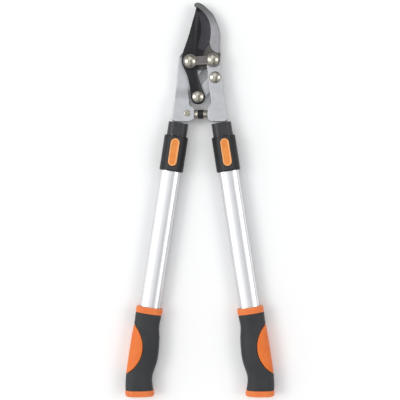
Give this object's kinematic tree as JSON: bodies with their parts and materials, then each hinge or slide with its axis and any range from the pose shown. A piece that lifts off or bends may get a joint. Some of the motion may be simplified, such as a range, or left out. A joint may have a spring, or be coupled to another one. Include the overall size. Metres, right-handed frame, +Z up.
{
  "type": "bypass loppers",
  "caption": "Telescopic bypass loppers: curved blade beside a hooked jaw, linked arms with a rubber stop, oval extending tubes with lock levers, moulded grips.",
  "frame": {"origin": "under the middle of the shut, retracted tool, on the surface it lies on", "axes": "+Y from the grips to the jaws, +X to the right arm's side, +Z up, away from the surface it lies on"},
  "size_m": [0.2608, 0.6884, 0.036],
  "materials": {
    "cast_alloy": "sandblasted",
    "ground_steel": "ground",
    "coated_blade": "satin non-stick coating",
    "grey_steel": "phosphated",
    "bright_nickel": "polished",
    "bush_bronze": "sintered",
    "stop_rubber": "matte",
    "tube_alloy": "satin anodised",
    "black_nylon": "soft sheen",
    "orange_plastic": "satin",
    "grip_charcoal": "fine grain",
    "grip_orange": "soft touch"
  },
  "bodies": {
    "frame": {"left_arm": "cast_alloy", "hook": "ground_steel", "front_strap": "grey_steel", "blade_pivot_bolt": "bright_nickel", "blade_pivot_nut": "grey_steel", "arm_pivot_bolt": "bright_nickel", "arm_pivot_nut": "grey_steel", "hook_rivets": "grey_steel", "boss_screw": "bright_nickel", "bumper_left_cup": "bright_nickel", "bumper_rubber": "stop_rubber", "bumper_right_cup": "bright_nickel", "left_ferrule": "black_nylon", "left_inner_tube": "tube_alloy", "left_tang_rivets": "grey_steel", "left_glide_plug": "black_nylon"},
    "blade_body": {"blade": "coated_blade", "blade_bush": "bush_bronze", "blade_washer": "bright_nickel", "tail_bolt": "bright_nickel", "tail_washer": "bright_nickel", "tail_back_washer": "bright_nickel", "tail_nut": "grey_steel"},
    "right_arm_body": {"right_arm": "cast_alloy", "arm_bush": "bush_bronze", "crank_bolt": "bright_nickel", "crank_nut": "grey_steel", "bumper_strike": "grey_steel", "right_ferrule": "black_nylon", "right_inner_tube": "tube_alloy", "right_tang_rivets": "grey_steel", "right_glide_plug": "black_nylon"},
    "link_body": {"drive_link": "cast_alloy", "link_bush": "bush_bronze"},
    "left_handle": {"left_outer_tube": "tube_alloy", "left_lock_collar": "black_nylon", "left_collar_rivets": "grey_steel", "left_lever_pin": "grey_steel", "left_lever_spring": "grey_steel", "left_grip": "grip_charcoal", "left_grip_ring": "grip_orange", "left_grip_pad": "grip_orange", "left_grip_cap": "grip_orange"},
    "right_handle": {"right_outer_tube": "tube_alloy", "right_lock_collar": "black_nylon", "right_collar_rivets": "grey_steel", "right_lever_pin": "grey_steel", "right_lever_spring": "grey_steel", "right_grip": "grip_charcoal", "right_grip_ring": "grip_orange", "right_grip_pad": "grip_orange", "right_grip_cap": "grip_orange"},
    "left_lock": {"left_lock_lever": "orange_plastic"},
    "right_lock": {"right_lock_lever": "orange_plastic"}
  },
  "joints": [
    {"name": "right_arm_open", "type": "hinge", "parent": "frame", "child": "right_arm_body", "pos_m": [0.02275, 0.2434, 0.0218], "axis": [0, 0, 1], "range_deg": [0, 70]},
    {"name": "blade_open", "type": "hinge", "parent": "frame", "child": "blade_body", "pos_m": [-0.017, 0.2408, 0.021], "axis": [0, 0, 1], "range_deg": [0, 36]},
    {"name": "link_swing", "type": "hinge", "parent": "right_arm_body", "child": "link_body", "pos_m": [0.0268, 0.213, 0.0155], "axis": [0, 0, 1], "range_deg": [-63, 0]},
    {"name": "left_extend", "type": "slide", "parent": "frame", "child": "left_handle", "axis": [-0.153, -0.9882, 0], "range_m": [0, 0.3]},
    {"name": "right_extend", "type": "slide", "parent": "right_arm_body", "child": "right_handle", "axis": [0.153, -0.9882, 0], "range_m": [0, 0.3]},
    {"name": "left_lock_press", "type": "hinge", "parent": "left_handle", "child": "left_lock", "pos_m": [-0.04532, 0.08212, 0.032], "axis": [0.9882, -0.153, 0], "range_deg": [0, 2.5], "stiffness_Nm_per_rad": 0.6, "deforming": ["left_lever_spring"]},
    {"name": "right_lock_press", "type": "hinge", "parent": "right_handle", "child": "right_lock", "pos_m": [0.04532, 0.08212, 0.032], "axis": [0.9882, 0.153, 0], "range_deg": [0, 2.5], "stiffness_Nm_per_rad": 0.6, "deforming": ["right_lever_spring"]}
  ],
  "couplings": [
    {"joint": "blade_open", "follows": "right_arm_open", "ratio": 0.5},
    {"joint": "link_swing", "follows": "right_arm_open", "ratio": -0.88}
  ]
}
